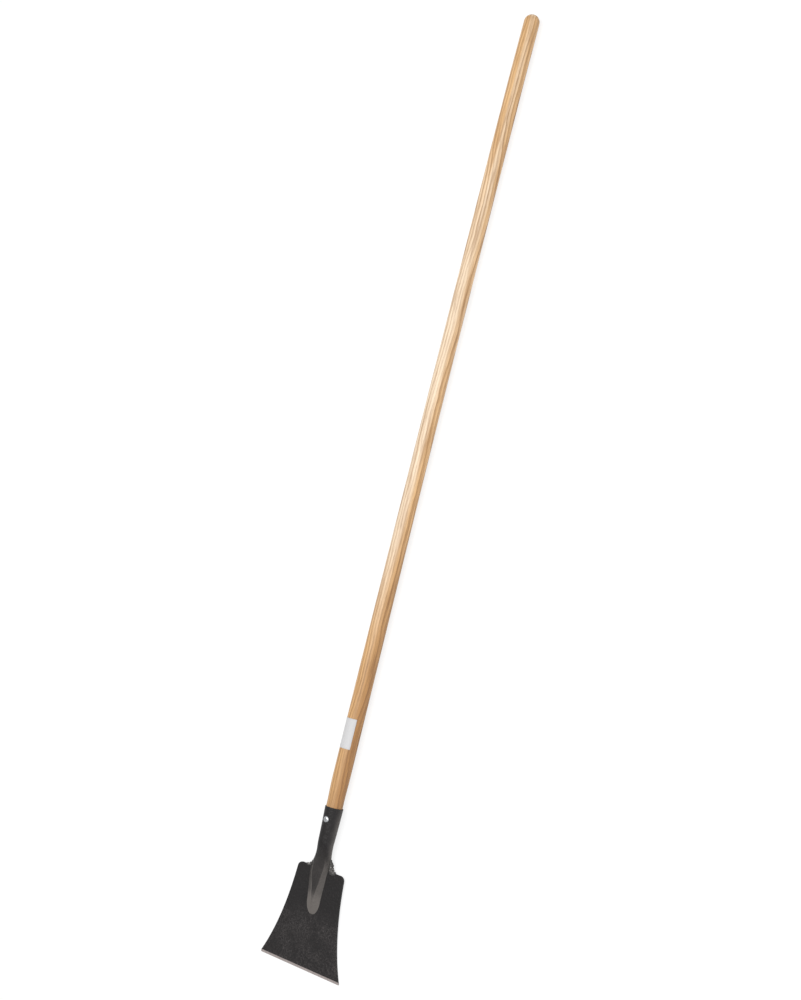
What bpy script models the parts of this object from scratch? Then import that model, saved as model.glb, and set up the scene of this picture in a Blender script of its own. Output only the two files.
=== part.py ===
"""Slug chopper: a flat steel blade, welded to a tapered socket that holds a long ash handle.

Everything is drawn in the tool's own axes: the centre of the socket's mouth is the origin, +X runs
up the handle, +Z is the front and a drop is a distance below the mouth. A parent empty then lays
the tool on its back, so that its lowest points touch the floor. Lengths are in metres.
"""

import math

import bmesh
import bpy
from mathutils import Matrix, Vector

MM = 0.001

# Clearance between two pieces that touch
FIT_GAP = 0.3 * MM

# Handle
HANDLE_LENGTH = 1390 * MM
HANDLE_INSERT = 52 * MM
HANDLE_DIAMETER = 27.8 * MM
GRIP_DIAMETER = 26.5 * MM
SWELL_START = 8 * MM
SWELL_LENGTH = 38 * MM
TAPER_LENGTH = 700 * MM

# Socket
MOUTH_DIAMETER = 29.2 * MM
NECK_DIAMETER = 25.4 * MM
SOCKET_WALL = 1.2 * MM
CONE_LENGTH = 58 * MM
PRESSED_LENGTH = 39 * MM
RIM_ROUNDING = 0.4 * MM
SOCKET_BACK_PROUD = 1.2 * MM
SOCKET_BACK_NARROWING = 0.92
HOLLOW_DEPTH = 85 * MM

# Tongue, the pressed end of the socket that lies on the blade
TONGUE_LENGTH = 71 * MM
TONGUE_ROOT_WIDTH = 34.6 * MM
TONGUE_NOSE_WIDTH = 26.4 * MM
TONGUE_NOSE_LENGTH = 22 * MM
TONGUE_ROOT_HEIGHT = 6.5 * MM
TONGUE_CREST_HEIGHT = 4.2 * MM
NOSE_BLUNTNESS = 2.2
NOSE_FALL = 1.6
CREST_ROOT_WIDTH = 19 * MM
CREST_LENGTH = 46 * MM
CREST_CROWN = 0.35 * MM
CREST_END_WIDTH = 0.9 * MM

# Blade
BLADE_HEIGHT = 155 * MM
BLADE_THICKNESS = 3 * MM
BLADE_SETBACK = 7.7 * MM
BLADE_PITCH = math.radians(1.7)
EDGE_WIDTH = 156.5 * MM
TOP_WIDTH = 90 * MM
SHOULDER_RADIUS = 8 * MM
WAIST_DROP = 96 * MM
WAIST_WIDTH = 100 * MM
GROUND_WIDTH = 4.5 * MM
EDGE_THICKNESS = 0.7 * MM
EDGE_CORNER_ROUNDING = 2 * MM
SHEARED_EDGE_ROUNDING = 0.35 * MM
SHEARED_EDGE_ANGLE = math.radians(50)

# Fixing screw
SCREW_DROP = 19 * MM
SCREW_HEAD_DIAMETER = 9.4 * MM
SCREW_HEAD_HEIGHT = 3 * MM
SCREW_HEAD_EDGE = 0.9 * MM
SCREW_SHANK_DIAMETER = 4.5 * MM
SCREW_LENGTH = 20 * MM
SCREW_POINT_LENGTH = 5 * MM
RECESS_WIDTH = 1.2 * MM
RECESS_LENGTH = 5 * MM
RECESS_DEPTH = 1.9 * MM
RECESS_TURN = math.radians(20)

# Paper label
LABEL_HEIGHT = 47.7 * MM
LABEL_WIDTH = 30 * MM
LABEL_THICKNESS = 0.25 * MM
LABEL_PLACE = 140 * MM
LABEL_TURN = math.radians(18)

# Welds
RIGHT_WELD_RADIUS = 3.8 * MM
RIGHT_WELD_CLIMB = 17 * MM
RIGHT_WELD_FILL = 2.6 * MM
LEFT_WELD_RADIUS = 2.8 * MM
LEFT_WELD_CLIMB = 9 * MM
LEFT_WELD_FILL = 1.2 * MM
WELD_REACH = 9 * MM
WELD_STANDOFF = 1.2 * MM
WELD_RIPPLES = 5
BACK_WELD_RADIUS = 2.3 * MM
BACK_WELD_MARGIN = 2 * MM
BACK_WELD_RIPPLES = 11
RIPPLE_DEPTH = 0.12
BEAD_END = 0.02

# Fineness of the curved surfaces
ROUND_STEPS = 48
SWELL_STEPS = 8
DOME_STEPS = 9
PRESSED_STEPS = 18
CREST_STEPS = 8
NOSE_STEPS = 12
SHOULDER_STEPS = 8
SIDE_STEPS = 16
EDGE_CORNER_STEPS = 4
LABEL_COLUMNS = 20
LABEL_ROWS = 6
BEAD_SIDES = 14
STEPS_A_RIPPLE = 4
SHARP_ANGLE = math.radians(30)

# Half a section of the socket has five corners, from the front's centre to the back's.
# They are given as turns on the round section, and each side between them has a number of steps.
CORNER_TURNS = [math.radians(turn) for turn in (0, 45, 98, 140, 180)]
SIDE_FINENESS = (7, 8, 6, 7)

SHOULDER_DROP = CONE_LENGTH + PRESSED_LENGTH


def smooth_step(value):
    """Rises from 0 to 1 with level ends as value goes from 0 to 1."""
    value = min(max(value, 0.0), 1.0)
    return value * value * (3 - 2 * value)


def mix(start, end, share):
    return start + (end - start) * share


def clear_scene():
    for obj in list(bpy.data.objects):
        bpy.data.objects.remove(obj, do_unlink=True)


def make_material(name, colour, roughness, metallic):
    material = bpy.data.materials.new(name)
    material.use_nodes = True
    shader = material.node_tree.nodes["Principled BSDF"]
    shader.inputs["Base Color"].default_value = (*colour, 1.0)
    shader.inputs["Roughness"].default_value = roughness
    shader.inputs["Metallic"].default_value = metallic
    material.diffuse_color = (*colour, 1.0)
    return material


def add_object(name, bm, parent, material=None):
    """Turns a bmesh into a linked object; without a material it is a cutter and stays hidden."""
    bmesh.ops.recalc_face_normals(bm, faces=bm.faces)
    mesh = bpy.data.meshes.new(name)
    bm.to_mesh(mesh)
    bm.free()
    obj = bpy.data.objects.new(name, mesh)
    bpy.context.scene.collection.objects.link(obj)
    obj.parent = parent
    if material is None:
        obj.hide_render = True
        obj.display_type = "WIRE"
    else:
        mesh.materials.append(material)
        mesh.shade_smooth()
        mesh.set_sharp_from_angle(angle=SHARP_ANGLE)
    return obj


def add_empty(name, parent=None):
    empty = bpy.data.objects.new(name, None)
    bpy.context.scene.collection.objects.link(empty)
    empty.parent = parent
    return empty


def cut(obj, cutter):
    modifier = obj.modifiers.new("cut " + cutter.name, "BOOLEAN")
    modifier.operation = "DIFFERENCE"
    modifier.solver = "EXACT"
    modifier.object = cutter


def loft(rings):
    """A closed body through rings of points, from the first ring to the last."""
    bm = bmesh.new()
    loops = [[bm.verts.new(point) for point in ring] for ring in rings]
    for near, far in zip(loops, loops[1:]):
        for index, vert in enumerate(near):
            following = (index + 1) % len(near)
            bm.faces.new((vert, near[following], far[following], far[index]))
    bm.faces.new(reversed(loops[0]))
    bm.faces.new(loops[-1])
    return bm


def turned(profile, axis):
    """A body of revolution: the profile is pairs of distance along the axis and radius."""
    bm = bmesh.new()
    along = Vector(axis)
    outward = along.orthogonal().normalized()
    verts = [bm.verts.new(along * place + outward * radius) for place, radius in profile]
    edges = [bm.edges.new(pair) for pair in zip(verts, verts[1:])]
    bmesh.ops.spin(
        bm,
        geom=verts + edges,
        cent=(0, 0, 0),
        axis=along,
        angle=math.tau,
        steps=ROUND_STEPS,
        use_duplicate=False,
    )
    bmesh.ops.remove_doubles(bm, verts=bm.verts, dist=MM / 1000)
    return bm


def prism(outline, direction):
    """An outline of points pushed along a direction."""
    bm = bmesh.new()
    face = bm.faces.new([bm.verts.new(point) for point in outline])
    pushed = bmesh.ops.extrude_face_region(bm, geom=[face])
    moved = [item for item in pushed["geom"] if isinstance(item, bmesh.types.BMVert)]
    bmesh.ops.translate(bm, verts=moved, vec=Vector(direction))
    return bm


def box(low, high):
    corners = [(low[0], low[1]), (high[0], low[1]), (high[0], high[1]), (low[0], high[1])]
    return prism([(across, along, low[2]) for across, along in corners], (0, 0, high[2] - low[2]))


def socket_radius(drop):
    """Outer radius of the socket's cone."""
    return mix(MOUTH_DIAMETER, NECK_DIAMETER, drop / CONE_LENGTH) / 2


def bore_radius(drop):
    return socket_radius(drop) - SOCKET_WALL


def handle_radius(place):
    """Radius of the handle at a place above the socket's mouth; below it the handle fills the bore."""
    mouth = bore_radius(0) - FIT_GAP
    if place < 0:
        return bore_radius(-place) - FIT_GAP
    if place < SWELL_START + SWELL_LENGTH:
        return mix(mouth, HANDLE_DIAMETER / 2, smooth_step((place - SWELL_START) / SWELL_LENGTH))
    taper = (place - SWELL_START - SWELL_LENGTH) / TAPER_LENGTH
    return mix(HANDLE_DIAMETER, GRIP_DIAMETER, smooth_step(taper)) / 2


def blade_front(drop):
    """Height of the blade's front face in the tool's axes, with its slight backward pitch."""
    return -BLADE_SETBACK - math.tan(BLADE_PITCH) * (drop - SHOULDER_DROP)


def foot_half_width(drop):
    """Half the width of the pressed part: it flares to the tongue's root, then narrows to the nose."""
    reach = drop - SHOULDER_DROP
    straight = TONGUE_LENGTH - TONGUE_NOSE_LENGTH
    if reach < 0:
        neck = socket_radius(min(drop, CONE_LENGTH))
        return mix(neck, TONGUE_ROOT_WIDTH / 2, smooth_step((drop - CONE_LENGTH) / PRESSED_LENGTH))
    if reach < straight:
        return mix(TONGUE_ROOT_WIDTH, TONGUE_NOSE_WIDTH, reach / straight) / 2
    share = (reach - straight) / TONGUE_NOSE_LENGTH
    return TONGUE_NOSE_WIDTH / 2 * math.sqrt(1 - share**NOSE_BLUNTNESS)


def tongue_height(reach):
    """Height of the tongue's crest over the blade: a long gentle fall, then the nose."""
    if reach < CREST_LENGTH:
        return mix(TONGUE_ROOT_HEIGHT, TONGUE_CREST_HEIGHT, max(reach, 0) / CREST_LENGTH)
    share = (reach - CREST_LENGTH) / (TONGUE_LENGTH - CREST_LENGTH)
    return TONGUE_CREST_HEIGHT * (1 - share**NOSE_FALL)


def pressed_corners(drop):
    """The five corners of half a pressed section, as pairs of side and height."""
    reach = drop - SHOULDER_DROP
    face = blade_front(drop)
    top = face + tongue_height(reach)
    foot = foot_half_width(drop)
    crest_share = min(max(reach / CREST_LENGTH, 0), 1)
    crest = min(mix(CREST_ROOT_WIDTH, CREST_END_WIDTH, crest_share), foot) / 2
    depth = BLADE_THICKNESS + SOCKET_BACK_PROUD if reach < 0 else BLADE_THICKNESS / 2
    back = face - depth
    back_corner = (foot * SOCKET_BACK_NARROWING, back)
    return [(0, top + CREST_CROWN), (crest, top), (foot, face), back_corner, (0, back)]


def half_section(drop):
    """The socket's outside from front to back: round about the handle, and pressed below it."""
    radius = socket_radius(min(drop, CONE_LENGTH))
    corners = pressed_corners(drop)
    share = smooth_step((drop - HANDLE_INSERT) / (SHOULDER_DROP - HANDLE_INSERT))
    points = []
    for index, steps in enumerate(SIDE_FINENESS):
        for step in range(steps):
            part = step / steps
            turn = mix(CORNER_TURNS[index], CORNER_TURNS[index + 1], part)
            round_place = (radius * math.sin(turn), radius * math.cos(turn))
            flat_place = [mix(corners[index][axis], corners[index + 1][axis], part) for axis in (0, 1)]
            points.append([mix(round_place[axis], flat_place[axis], share) for axis in (0, 1)])
    points.append((0, mix(-radius, corners[-1][1], share)))
    return points


def socket_ring(drop, grow=0.0):
    """A closed ring of the socket's outside, pushed outwards by a distance."""
    half = half_section(drop)
    flat = half + [(-side, height) for side, height in reversed(half[1:-1])]
    ring = []
    for index, (side, height) in enumerate(flat):
        before = flat[index - 1]
        after = flat[(index + 1) % len(flat)]
        along = Vector((after[0] - before[0], after[1] - before[1])).normalized()
        ring.append(Vector((-drop, side - along.y * grow, height + along.x * grow)))
    return ring


def socket_drops():
    """Places of the socket's sections: the pressed part, the ledge on the blade, the crest and the nose."""
    pressed_length = SHOULDER_DROP - FIT_GAP - HANDLE_INSERT
    nose_length = TONGUE_LENGTH - FIT_GAP - CREST_LENGTH
    crest_end = SHOULDER_DROP + CREST_LENGTH
    pressed = [HANDLE_INSERT + pressed_length * step / PRESSED_STEPS for step in range(PRESSED_STEPS + 1)]
    crest = [SHOULDER_DROP + CREST_LENGTH * step / CREST_STEPS for step in range(1, CREST_STEPS + 1)]
    nose = [crest_end + nose_length * step / NOSE_STEPS for step in range(1, NOSE_STEPS + 1)]
    return [HANDLE_INSERT / 2] + pressed + [SHOULDER_DROP + FIT_GAP] + crest + nose


def make_bore(parent):
    """The socket's hollow: its outside less the wall, open at the mouth and closed where it is pressed."""
    drops = [-MM, 0] + [drop for drop in socket_drops() if drop < HOLLOW_DEPTH] + [HOLLOW_DEPTH]
    rings = [socket_ring(drop, -SOCKET_WALL) for drop in drops]
    return add_object("socket_bore", loft(rings), parent)


def make_screw_hole(parent):
    radius = SCREW_SHANK_DIAMETER / 2 + FIT_GAP
    bottom = socket_radius(SCREW_DROP) - SCREW_LENGTH
    top = MOUTH_DIAMETER
    bm = turned([(bottom, 0), (bottom, radius), (top, radius), (top, 0)], (0, 0, 1))
    hole = add_object("screw_hole", bm, parent)
    hole.location.x = -SCREW_DROP
    return hole


def make_handle(parent, material, screw_hole):
    """The pole: it fills the bore, swells above the mouth, tapers and ends in a round grip."""
    end = HANDLE_LENGTH - HANDLE_INSERT
    radius = GRIP_DIAMETER / 2
    profile = [(-HANDLE_INSERT, 0), (-HANDLE_INSERT, handle_radius(-HANDLE_INSERT)), (0, handle_radius(0))]
    swell_end = SWELL_START + SWELL_LENGTH
    swell = [SWELL_START + SWELL_LENGTH * step / SWELL_STEPS for step in range(SWELL_STEPS + 1)]
    taper = [swell_end + TAPER_LENGTH * step / SWELL_STEPS for step in range(1, SWELL_STEPS + 1)]
    profile += [(place, handle_radius(place)) for place in swell + taper]
    for step in range(DOME_STEPS):
        turn = math.pi / 2 * step / DOME_STEPS
        profile.append((end - radius + radius * math.sin(turn), radius * math.cos(turn)))
    profile.append((end, 0))
    handle = add_object("handle", turned(profile, (1, 0, 0)), parent, material)
    cut(handle, screw_hole)
    return handle


def make_socket(parent, material, bore, screw_hole, landing):
    """The tube and its tongue in one pressed piece, cut to sit over the blade's top edge."""
    edge = socket_ring(0, -RIM_ROUNDING)
    rings = [edge] + [socket_ring(drop) for drop in [RIM_ROUNDING] + socket_drops()]
    socket = add_object("socket", loft(rings), parent, material)
    for cutter in (bore, screw_hole, landing):
        cut(socket, cutter)
    return socket


def make_socket_envelope(parent):
    """The socket's outside grown by the clearance, which shapes the welds against it."""
    rings = [socket_ring(drop, FIT_GAP) for drop in [0] + socket_drops()]
    return add_object("socket_envelope", loft(rings), parent)


def blade_outline():
    """The blade's outline: round shoulders, hollow flaring sides and a cutting edge with blunt corners."""
    corner = TOP_WIDTH / 2 - SHOULDER_RADIUS
    side = []
    for step in range(SHOULDER_STEPS + 1):
        turn = math.pi / 2 * step / SHOULDER_STEPS
        side.append((SHOULDER_RADIUS * (1 - math.cos(turn)), corner + SHOULDER_RADIUS * math.sin(turn)))
    start = (SHOULDER_RADIUS, TOP_WIDTH / 2)
    waist = (WAIST_DROP, WAIST_WIDTH / 2)
    end = Vector((BLADE_HEIGHT, EDGE_WIDTH / 2))
    for step in range(1, SIDE_STEPS):
        part = step / SIDE_STEPS
        near = [mix(start[axis], waist[axis], part) for axis in (0, 1)]
        far = [mix(waist[axis], end[axis], part) for axis in (0, 1)]
        side.append((mix(near[0], far[0], part), mix(near[1], far[1], part)))
    before = end - (end - Vector(waist)).normalized() * EDGE_CORNER_ROUNDING
    after = end - Vector((0, EDGE_CORNER_ROUNDING))
    for step in range(EDGE_CORNER_STEPS + 1):
        part = step / EDGE_CORNER_STEPS
        side.append(before.lerp(end, part).lerp(end.lerp(after, part), part))
    right = [(-down, across, 0) for down, across in side]
    left = [(place, -across, height) for place, across, height in reversed(right)]
    return right + left


def make_grinding_cutter(parent):
    """The wedge that grinding takes off the front, along the cutting edge."""
    slope = (BLADE_THICKNESS - EDGE_THICKNESS) / GROUND_WIDTH
    start = -BLADE_HEIGHT + GROUND_WIDTH
    past = -BLADE_HEIGHT - GROUND_WIDTH
    deep = slope * (past - start)
    flank = -EDGE_WIDTH
    side = [(start, flank, 0), (past, flank, deep), (past, flank, GROUND_WIDTH), (start, flank, GROUND_WIDTH)]
    return add_object("grinding_wedge", prism(side, (0, 2 * EDGE_WIDTH, 0)), parent)


def make_landing_cutter(parent):
    """Everything behind the blade's front face and below its top edge, with the clearance."""
    low = (-BLADE_HEIGHT, -EDGE_WIDTH / 2, -MOUTH_DIAMETER)
    high = (FIT_GAP, EDGE_WIDTH / 2, FIT_GAP)
    return add_object("landing", box(low, high), parent)


def make_plate_envelope(parent):
    """The blade's slab grown by the clearance, which shapes the welds against it."""
    low = (-BLADE_HEIGHT, -EDGE_WIDTH / 2, -BLADE_THICKNESS - FIT_GAP)
    high = (FIT_GAP, EDGE_WIDTH / 2, FIT_GAP)
    return add_object("plate_envelope", box(low, high), parent)


def make_blade(parent, material, wedge):
    blade = add_object("blade", prism(blade_outline(), (0, 0, -BLADE_THICKNESS)), parent, material)
    cut(blade, wedge)
    rounding = blade.modifiers.new("sheared edges", "BEVEL")
    rounding.width = SHEARED_EDGE_ROUNDING
    rounding.segments = 2
    rounding.limit_method = "ANGLE"
    rounding.angle_limit = SHEARED_EDGE_ANGLE
    return blade


def make_screw(parent, material):
    """A pan-head wood screw with a cross recess; its head rests on the socket's front."""
    head = SCREW_HEAD_DIAMETER / 2
    shank = SCREW_SHANK_DIAMETER / 2
    dome = SCREW_HEAD_HEIGHT - SCREW_HEAD_EDGE
    point = 2 * FIT_GAP - SCREW_LENGTH
    profile = [(SCREW_HEAD_HEIGHT, 0)]
    for step in range(1, DOME_STEPS):
        turn = math.pi / 2 * (1 - step / (DOME_STEPS - 1))
        profile.append((SCREW_HEAD_EDGE + dome * math.sin(turn), head * math.cos(turn)))
    profile += [(0, head), (0, shank), (point + SCREW_POINT_LENGTH, shank), (point, 0)]
    screw = add_object("fixing_screw", turned(profile, (0, 0, 1)), parent, material)
    screw.location = (-SCREW_DROP, 0, socket_radius(SCREW_DROP) + FIT_GAP)
    low = (-RECESS_LENGTH / 2, -RECESS_WIDTH / 2, SCREW_HEAD_HEIGHT - RECESS_DEPTH)
    high = (RECESS_LENGTH / 2, RECESS_WIDTH / 2, SCREW_HEAD_HEIGHT + MM)
    for name, turn in (("recess_a", RECESS_TURN), ("recess_b", RECESS_TURN + math.pi / 2)):
        recess = add_object(name, box(low, high), screw)
        recess.rotation_euler.z = turn
        cut(screw, recess)
    return screw


def make_label(parent, material):
    """A thin sheet that follows the handle's surface."""
    spread = LABEL_WIDTH / HANDLE_DIAMETER
    turns = [LABEL_TURN + spread * (2 * column / LABEL_COLUMNS - 1) for column in range(LABEL_COLUMNS + 1)]
    rings = []
    for row in range(LABEL_ROWS + 1):
        place = LABEL_PLACE - LABEL_HEIGHT * row / LABEL_ROWS
        inner = handle_radius(place) + FIT_GAP
        outer = inner + LABEL_THICKNESS
        ring = [Vector((place, inner * math.sin(turn), inner * math.cos(turn))) for turn in turns]
        ring += [Vector((place, outer * math.sin(turn), outer * math.cos(turn))) for turn in reversed(turns)]
        rings.append(ring)
    return add_object("paper_label", loft(rings), parent, material)


def bead(start, middle, end, radius, ripples):
    """A rippled weld bead along a curve through three points, fattest in the middle."""
    steps = ripples * STEPS_A_RIPPLE
    pull = 2 * middle - (start + end) / 2
    rings = []
    for step in range(steps + 1):
        part = step / steps
        near = start.lerp(pull, part)
        far = pull.lerp(end, part)
        centre = near.lerp(far, part)
        frame = (far - near).to_track_quat("Z", "Y").to_matrix()
        swell = math.sqrt(math.sin(math.pi * mix(BEAD_END, 1 - BEAD_END, part)))
        size = radius * swell * (1 + RIPPLE_DEPTH * math.sin(math.tau * ripples * part))
        ring = []
        for index in range(BEAD_SIDES):
            turn = math.tau * index / BEAD_SIDES
            ring.append(centre + frame @ Vector((size * math.cos(turn), size * math.sin(turn), 0)))
        rings.append(ring)
    return loft(rings)


def make_weld(name, shape, parent, material, cutters):
    weld = add_object(name, shape, parent, material)
    for cutter in cutters:
        cut(weld, cutter)
    return weld


def side_bead(side, radius, climb, fill):
    """The bead in the corner between the socket's flank and one shoulder of the blade."""
    flank = TONGUE_ROOT_WIDTH / 2
    depth = -BLADE_THICKNESS / 2
    start = Vector((climb, side * (foot_half_width(SHOULDER_DROP - climb) + WELD_STANDOFF), 0))
    middle = Vector((fill, side * (flank + fill), depth))
    end = Vector((WELD_STANDOFF, side * (flank + WELD_REACH), depth))
    return bead(start, middle, end, radius, WELD_RIPPLES)


def back_bead():
    """The bead across the back, where the socket ends at the blade's top edge."""
    half = TONGUE_ROOT_WIDTH / 2 - BACK_WELD_MARGIN
    middle = Vector((-FIT_GAP, 0, -BLADE_THICKNESS - FIT_GAP))
    across = Vector((0, half, 0))
    return bead(middle - across, middle, middle + across, BACK_WELD_RADIUS, BACK_WELD_RIPPLES)


def rest_tilt():
    """The turn about Y that lets the blade's cutting edge and the grip's end touch the floor together."""
    edge = Matrix.Rotation(-BLADE_PITCH, 3, "Y") @ Vector((-BLADE_HEIGHT, 0, -BLADE_THICKNESS))
    edge += Vector((-SHOULDER_DROP, 0, -BLADE_SETBACK))
    grip = GRIP_DIAMETER / 2
    reach = HANDLE_LENGTH - HANDLE_INSERT - grip - edge.x
    return math.asin(-grip / math.hypot(reach, edge.z)) - math.atan2(edge.z, reach)


def lay_down(tool):
    """Sets the tool on the floor, with the middle of its length over the origin."""
    tool.rotation_euler.y = rest_tilt()
    bpy.context.view_layer.update()
    corners = []
    for obj in bpy.data.objects:
        if obj.type == "MESH" and not obj.hide_render:
            shape = obj.evaluated_get(bpy.context.evaluated_depsgraph_get())
            corners += [shape.matrix_world @ vert.co for vert in shape.data.vertices]
    low = min(corner.x for corner in corners)
    high = max(corner.x for corner in corners)
    tool.location = (-(low + high) / 2, 0, -min(corner.z for corner in corners))
    bpy.context.view_layer.update()


def main():
    clear_scene()
    wood = make_material("ash_wood", (0.62, 0.38, 0.17), 0.5, 0.0)
    paint = make_material("black_paint", (0.035, 0.035, 0.036), 0.42, 0.0)
    steel = make_material("weld_metal", (0.06, 0.058, 0.055), 0.45, 0.3)
    zinc = make_material("zinc_plate", (0.66, 0.68, 0.7), 0.25, 1.0)
    paper = make_material("label_paper", (0.8, 0.8, 0.8), 0.6, 0.0)

    tool = add_empty("tool_axes")
    blade_axes = add_empty("blade_axes", tool)
    blade_axes.location = (-SHOULDER_DROP, 0, -BLADE_SETBACK)
    blade_axes.rotation_euler.y = -BLADE_PITCH

    bore = make_bore(tool)
    screw_hole = make_screw_hole(tool)
    landing = make_landing_cutter(blade_axes)
    welded = (make_socket_envelope(tool), make_plate_envelope(blade_axes))

    make_handle(tool, wood, screw_hole)
    make_socket(tool, paint, bore, screw_hole, landing)
    make_blade(blade_axes, paint, make_grinding_cutter(blade_axes))
    right = side_bead(-1, RIGHT_WELD_RADIUS, RIGHT_WELD_CLIMB, RIGHT_WELD_FILL)
    left = side_bead(1, LEFT_WELD_RADIUS, LEFT_WELD_CLIMB, LEFT_WELD_FILL)
    make_weld("weld_right", right, blade_axes, steel, welded)
    make_weld("weld_left", left, blade_axes, steel, welded)
    make_weld("weld_back", back_bead(), blade_axes, steel, welded)
    make_screw(tool, zinc)
    make_label(tool, paper)
    lay_down(tool)


main()
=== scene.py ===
"""Slug chopper: the visual model round the packed frame, laid out as an add-on and run as a script.

The pieces are modelled in the tool's own axes, where the centre of the socket's mouth is the origin,
+X runs up the pole, +Z is the front and a drop is a distance below the mouth. Each finished piece is
then laid on the frame. Lengths are in metres.
"""

import math
from functools import cached_property
from random import Random

import bpy
from bpy.props import FloatProperty, FloatVectorProperty, IntProperty, PointerProperty
from bpy.types import Operator, Panel, PropertyGroup
from mathutils import Matrix, Vector


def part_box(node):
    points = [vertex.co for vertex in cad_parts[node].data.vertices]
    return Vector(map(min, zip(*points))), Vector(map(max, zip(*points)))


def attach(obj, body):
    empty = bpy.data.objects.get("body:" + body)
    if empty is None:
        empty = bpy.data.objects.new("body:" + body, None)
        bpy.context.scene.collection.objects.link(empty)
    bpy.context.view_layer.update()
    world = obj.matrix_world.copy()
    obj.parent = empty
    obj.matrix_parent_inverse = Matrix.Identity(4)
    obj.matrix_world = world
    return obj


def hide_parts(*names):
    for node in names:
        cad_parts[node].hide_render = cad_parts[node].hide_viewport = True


bl_info = {
    "name": "Slug Chopper",
    "version": (1, 0, 0),
    "blender": (4, 5, 0),
    "location": "3D View > Sidebar > Slug Chopper",
    "description": "Builds a long-handled slug chopper and its studio round a packed frame",
    "category": "Add Mesh",
}

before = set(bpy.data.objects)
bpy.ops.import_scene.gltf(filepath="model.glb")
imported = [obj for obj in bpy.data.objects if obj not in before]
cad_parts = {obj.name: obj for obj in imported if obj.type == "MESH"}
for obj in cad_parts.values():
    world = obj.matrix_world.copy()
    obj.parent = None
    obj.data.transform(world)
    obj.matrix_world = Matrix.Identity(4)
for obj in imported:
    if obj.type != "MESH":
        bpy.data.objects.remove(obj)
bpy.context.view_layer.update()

MM = 0.001


# Makers of the settings' properties. Each property waits for its name, which is the setting's own word.


def setting(kind, text, value, **more):
    return lambda name: kind(name=name, description=text, default=value, **more)


def length(text, millimetres):
    return setting(FloatProperty, text, millimetres * MM, unit="LENGTH", precision=5)


def share(text, value):
    return setting(FloatProperty, text, value, min=0, max=1, subtype="FACTOR")


def turn(text, degrees):
    return setting(FloatProperty, text, math.radians(degrees), subtype="ANGLE")


def power(text, watts):
    return setting(FloatProperty, text, watts, unit="POWER")


def number(text, value):
    return setting(FloatProperty, text, value)


def colour(text, value):
    return setting(FloatVectorProperty, text, value, min=0, max=1, subtype="COLOR")


def count(text, value):
    return setting(IntProperty, text, value, min=3)


def group(settings):
    return lambda name: PointerProperty(name=name, description=settings.__doc__, type=settings)


def named(settings):
    """Makes the properties of a group and gives each one its name."""
    for word, make in settings.__annotations__.items():
        settings.__annotations__[word] = make(word.replace("_", " ").capitalize())
    return settings


@named
class PoleSettings(PropertyGroup):
    """The turned ash pole."""

    insert: length("Part of the pole that sits in the socket", 52)
    reach: length("Length of the pole above the mouth", 1336.8)
    diameter: length("Diameter above the swell", 27.8)
    grip_diameter: length("Diameter of the upper half and of its round end", 26.5)
    swell_start: length("Distance from the mouth to where the pole thickens", 8)
    swell_length: length("Distance over which the pole thickens", 38)
    taper_length: length("Distance over which the pole thins to the grip", 700)
    bow_side: length("Bow of the pole to its left", 1.8)
    bow_front: length("Bow of the pole to the front", 1.1)
    set_side: length("Shift of the socket's neck to the right", 1.2)
    set_back: length("Shift of the socket's neck to the back", 0.6)
    set_reach: length("Length of the pole that bends to meet the socket", 40)
    set_neck: length("Drop where the socket's neck shifts most", 50)
    set_end: length("Drop below which the socket follows the blade", 103)
    foot_start: length("Drop where the turn to the tongue's root starts", 64)
    foot_end: length("Drop of the tongue's root", 104)
    foot_side: length("Shift of the tongue's root to the left", 3.8)
    nose_end: length("Drop of the tongue's tip", 168)
    nose_side: length("Shift of the tongue's tip to the right", 0.6)
    tip_side: length("Bend of the pole's end to its right", 0.9)
    tip_length: length("Length of the bend at the pole's end", 130)
    sides: count("Facets round the pole", 96)
    # Painted highlight: pale wood laid on the lit side of the pole
    pale_wood: colour("Sapwood on the left of the middle", (0.94, 0.76, 0.555))
    warm_wood: colour("Late wood of most of the pole", (0.82, 0.51, 0.235))
    # Brown wood towards the socket, also laid as painted shade on the side away from the lamp
    brown_wood: colour("Wood towards the socket", (0.47, 0.229, 0.070))
    ring_wood: colour("Open early wood of the growth rings", (0.33, 0.155, 0.050))
    pore: colour("Short dark lines of the pores", (0.20, 0.09, 0.032))
    ring_spacing: length("Thickness of a growth ring", 4.9)
    pith_distance: length("Distance from the pole to the heart of its tree", 58)


@named
class SocketSettings(PropertyGroup):
    """The pressed steel socket and its tongue."""

    mouth_diameter: length("Outside diameter at the mouth", 29.2)
    neck_diameter: length("Outside diameter at the end of the cone", 25.4)
    wall: length("Thickness of the tube", 1.2)
    cone_length: length("Length of the round tapered part", 58)
    pressed_length: length("Length over which the tube is pressed flat", 39)
    flare_length: length("Length over which the pressed part widens", 31)
    rim_rounding: length("Rounding of the mouth's edge", 0.4)
    back_proud: length("How far the back stands behind the blade", 1.2)
    back_narrowing: share("Width of the back against the foot", 0.92)
    hollow_depth: length("Depth of the hollow below the mouth", 85)
    tongue_length: length("Length of the tongue on the blade", 71)
    root_width: length("Width of the tongue at the blade's top edge", 34.6)
    nose_width: length("Width of the tongue where its nose starts", 25.2)
    nose_length: length("Length of the rounded nose", 22)
    root_height: length("Height of the tongue at the blade's top edge", 6.5)
    crest_height: length("Height of the tongue where its crest ends", 4.2)
    crest_width: length("Width of the flat crest at the tongue's root", 22.6)
    crest_end_width: length("Width of the crest on the nose", 4.4)
    crest_length: length("Length over which the crest narrows", 46)
    crest_crown: length("Height of the crest's middle over its edges", 0.35)
    crest_share: share("Greatest width of the crest against the foot", 0.62)
    crest_lean: length("Lean of the crest, to the right at its root and the left at its end", 1.2)
    # Painted highlight: half the width of the light line painted along the crest's left edge
    crest_line: length("Half the width of the rubbed line along the crest's left edge", 0.9)


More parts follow.
